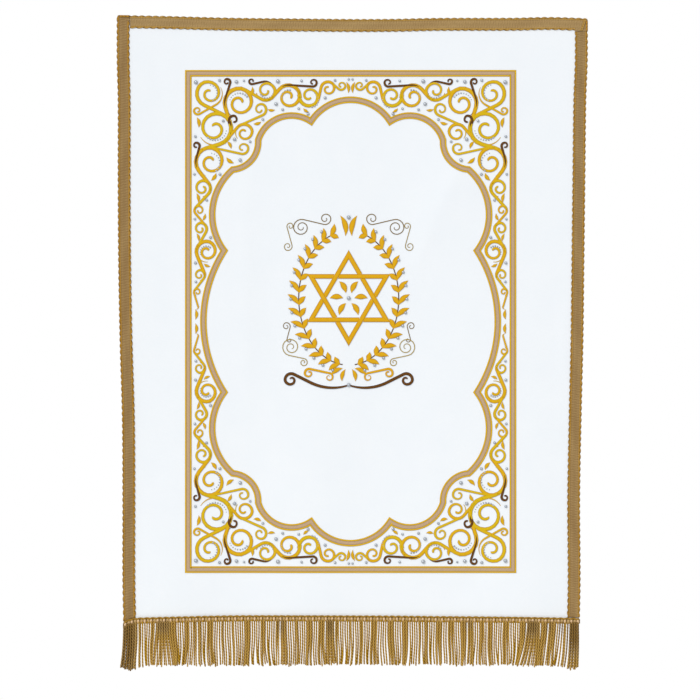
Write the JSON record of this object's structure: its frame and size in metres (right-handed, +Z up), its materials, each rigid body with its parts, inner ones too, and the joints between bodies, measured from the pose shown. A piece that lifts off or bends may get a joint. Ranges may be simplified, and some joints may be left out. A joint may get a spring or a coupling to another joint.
{
  "type": "torah ark curtain",
  "caption": "White velvet hanging curtain with gold galloon edges, a bullion fringe along its hem, and a sewn-on banded frame around a star.",
  "frame": {"origin": "the middle of the top edge, where the curtain is held, halfway through the cloth", "axes": "+X to the right seen from the front, +Y to the back, +Z up"},
  "size_m": [0.9994, 0.0146, 1.3912],
  "materials": {
    "velvet": "matt short pile",
    "galloon": "woven, slight lustre",
    "bullion": "twisted, slight lustre",
    "taupe_thread": "fill stitch, slight sheen",
    "gold_thread": "satin stitch, glossy thread"
  },
  "bodies": {
    "root": {"panel": "velvet", "braid_left": "galloon", "braid_top": "galloon", "braid_right": "galloon", "fringe": "bullion", "frame_right": "taupe_thread", "frame_top": "taupe_thread", "frame_left": "taupe_thread", "frame_bottom": "taupe_thread", "lobes_top": "taupe_thread", "lobes_left": "taupe_thread", "lobes_bottom": "taupe_thread", "lobes_right": "taupe_thread", "star": "gold_thread"}
  },
  "joints": []
}
